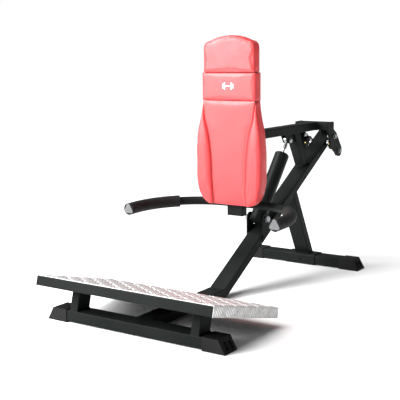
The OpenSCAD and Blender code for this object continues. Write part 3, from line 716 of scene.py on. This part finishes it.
# %% A bead along a path
def bead(name, body, paths, radius_mm=2.4):
    curve = bpy.data.curves.new(name, "CURVE")
    curve.dimensions = "3D"
    curve.bevel_depth = radius_mm * MM
    curve.bevel_resolution = 2
    curve.use_fill_caps = True
    for corners, closed in paths:
        ring = list(corners) + ([corners[0]] if closed else [])
        points = []
        for a, b in zip(ring[:-1], ring[1:]):
            steps = max(1, int((b - a).length / (2.2 * MM)))
            points += [a.lerp(b, i / steps) for i in range(steps)]
        if not closed:
            points.append(ring[-1])
        line = curve.splines.new("POLY")
        line.points.add(len(points) - 1)
        for i, (slot, point) in enumerate(zip(line.points, points)):
            slot.co = (*point, 1)
            slot.radius = 1.0 if i % 2 else 0.82
        line.use_cyclic_u = closed
    holder = bpy.data.objects.new(name, curve)
    bpy.context.scene.collection.objects.link(holder)
    graph = bpy.context.evaluated_depsgraph_get()
    mesh = bpy.data.meshes.new_from_object(holder.evaluated_get(graph))
    bpy.data.objects.remove(holder)
    for face in mesh.polygons:
        face.use_smooth = True
    return new_object(name, mesh, body, POWDER)


def rectangle(middle, across, up):
    return [middle + across + up, middle - across + up, middle - across - up,
            middle + across - up]


def circle(middle, radius_mm, u, v, count=40):
    turns = [2 * math.pi * i / count for i in range(count)]
    return [middle + radius_mm * MM * (u * math.cos(t) + v * math.sin(t)) for t in turns]


X, Y, Z = Vector((1, 0, 0)), Vector((0, 1, 0)), Vector((0, 0, 1))
BEAM = math.radians(30.2)
up_beam = Vector((0, math.cos(BEAM), math.sin(BEAM)))
off_beam = Vector((0, -math.sin(BEAM), math.cos(BEAM)))

# %% [markdown]
# The joints are listed member by member. Places come from the frame's own boxes wherever a
# box gives them, and otherwise from the angles of the two members that meet.

# %% Beads on the frame
posts_low_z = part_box("platform_posts")[0].z
pivot = at(0, 1607, 601.635)
frame_paths = []
for side in (1, -1):
    foot = Vector((side * 0.295, at(0, 43.9, 0).y, posts_low_z))
    frame_paths.append((rectangle(foot, X * 20 * MM, Y * 37.8 * MM), True))
frame_paths.append((rectangle(at(0, 83, 28), X * 39 * MM, Z * 19 * MM), True))
frame_paths.append((rectangle(at(0, 1438.2, 55), X * 39.5 * MM, Y * 22.5 * MM), True))
leg_top_front, leg_top_rear = at(0, 1248, 368), at(0, 1280, 387)
frame_paths.append(([leg_top_front + X * 39 * MM, leg_top_front - X * 39 * MM], False))
frame_paths.append(([leg_top_rear + X * 39 * MM, leg_top_rear - X * 39 * MM], False))
for side in (1, -1):
    frame_paths.append((circle(pivot + X * side * 40.3 * MM, 18, Y, Z), True))
    low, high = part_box("clevis_plates")
    for y in (low.y, high.y):
        on_top = at(0, 616, 48) + up_beam * ((y - at(0, 616, 0).y) / math.cos(BEAM))
        top = Vector((side * 41 * MM, y, on_top.z))
        frame_paths.append(([top, top - Z * 28 * MM], False))
stop_foot = pivot + up_beam * 62 * MM + off_beam * 20 * MM
frame_paths.append((circle(stop_foot, 14, X, up_beam), True))
bead("frame_welds", "frame", frame_paths)

# %% Beads on the lever arm
arm_low, arm_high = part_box("lever_arm")
arm_mid = (arm_low.z + arm_high.z) / 2
arm_half = (arm_high.z - arm_low.z) / 2
arm_paths = []
for y in (arm_low.y, arm_high.y):
    ring = rectangle(Vector((0, y, arm_mid)), X * 29.5 * MM, Z * (arm_half - 0.5 * MM))
    arm_paths.append((ring, True))
box_low, box_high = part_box("head_box")
for side in (1, -1):
    middle = Vector((side * box_high.x, (box_low.y + box_high.y) / 2, arm_mid))
    arm_paths.append((rectangle(middle, Y * 29 * MM, Z * 19.5 * MM), True))
under_arm = 675.5
stop_front = 1375 - (under_arm - 510) * math.tan(BEAM)
for y in (stop_front, stop_front + 50 / math.cos(BEAM)):
    place = at(0, y, under_arm)
    arm_paths.append(([place + X * 24 * MM, place - X * 24 * MM], False))
mast_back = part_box("mast")[1].y
bar_z = 397
for z in (bar_z + 6, bar_z - 6):
    place = Vector((0, mast_back + 1 * MM, z * MM))
    arm_paths.append(([place + X * 38 * MM, place - X * 38 * MM], False))
bead("arm_welds", "arm", arm_paths)
print("weld paths:", len(frame_paths) + len(arm_paths))

# %% [markdown]
# ## Light and camera
# The picture wants a plain white room: a big soft light from the front left that spreads a
# haze over the pad's face, and a wide one from high on the left that keeps the whole floor
# white and leaves soft shadows. The camera sees the world as pure white, but it lights the
# machine less than that, so the black tubes stay black. The floor and the lights aren't part
# of the machine.

# %% Floor and world
bm = bmesh.new()
bmesh.ops.create_grid(bm, x_segments=1, y_segments=1, size=30)
floor_mesh = mesh_from(bm, "floor", False)
floor = bpy.data.objects.new("floor", floor_mesh)
bpy.context.scene.collection.objects.link(floor)
floor_paint, tree, shader, place = start_material("pale_floor")
shader.inputs["Base Color"].default_value = (0.92, 0.92, 0.92, 1)
shader.inputs["Roughness"].default_value = 0.6
shader.inputs["Specular IOR Level"].default_value = 0.2
floor_mesh.materials.append(floor_paint)
if floor_mesh.polygons[0].normal.z < 0:
    floor_mesh.flip_normals()
floor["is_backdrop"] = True

ROOM_LIGHT = 0.22
world = bpy.data.worlds.new("white_room")
bpy.context.scene.world = world
world.use_nodes = True
room = world.node_tree
background = room.nodes["Background"]
background.inputs["Color"].default_value = (1, 1, 1, 1)
seen = remap(room, room.nodes.new("ShaderNodeLightPath").outputs["Is Camera Ray"], 0, 1,
             ROOM_LIGHT, 1.0)
room.links.new(seen, background.inputs["Strength"])

# %% Lamps
def soft_lamp(name, place, target, size, watts):
    light = bpy.data.lights.new(name, "AREA")
    light.shape, light.size, light.energy = "SQUARE", size, watts
    lamp = bpy.data.objects.new(name, light)
    bpy.context.scene.collection.objects.link(lamp)
    lamp.location = place
    lamp.rotation_euler = (Vector(target) - Vector(place)).to_track_quat("-Z", "Y").to_euler()
    return lamp


soft_lamp("front_left_soft", (-2.3, -3.2, 2.1), (0, 0, 0.9), 1.7, 330)
sky = bpy.data.lights.new("wide_soft", "SUN")
sky.energy, sky.angle = 3.7, math.radians(50)
wide = bpy.data.objects.new("wide_soft", sky)
bpy.context.scene.collection.objects.link(wide)
wide.rotation_euler = Vector((0.40, 0.35, -1)).to_track_quat("-Z", "Y").to_euler()

# %% [markdown]
# The camera stands to the front right, a little above head height of someone kneeling, and
# looks slightly down. Its three axes are worked out from its heading and tilt, which is surer
# than stacking rotations.

# %% Camera
heading, tilt, roll = -0.5961, 0.1651, -0.0113
forward = Vector((math.sin(heading) * math.cos(tilt), math.cos(heading) * math.cos(tilt),
                  -math.sin(tilt)))
level = Vector((math.cos(heading), -math.sin(heading), 0))
upward = level.cross(forward)
right = math.cos(roll) * level + math.sin(roll) * upward
top = math.cos(roll) * upward - math.sin(roll) * level
lens = bpy.data.cameras.new("camera")
lens.lens, lens.sensor_width = 80.135, 36.0
camera = bpy.data.objects.new("camera", lens)
bpy.context.scene.collection.objects.link(camera)
turn = Matrix((right, top, -forward)).transposed().to_4x4()
camera.matrix_world = Matrix.Translation(at(2074.26, -2570.91, 1075.42)) @ turn
bpy.context.scene.camera = camera
bpy.context.scene.view_settings.view_transform = "Standard"

# %% Sizes and finish
low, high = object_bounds()
print("the model measures", [round(v, 3) for v in high - low], "metres")
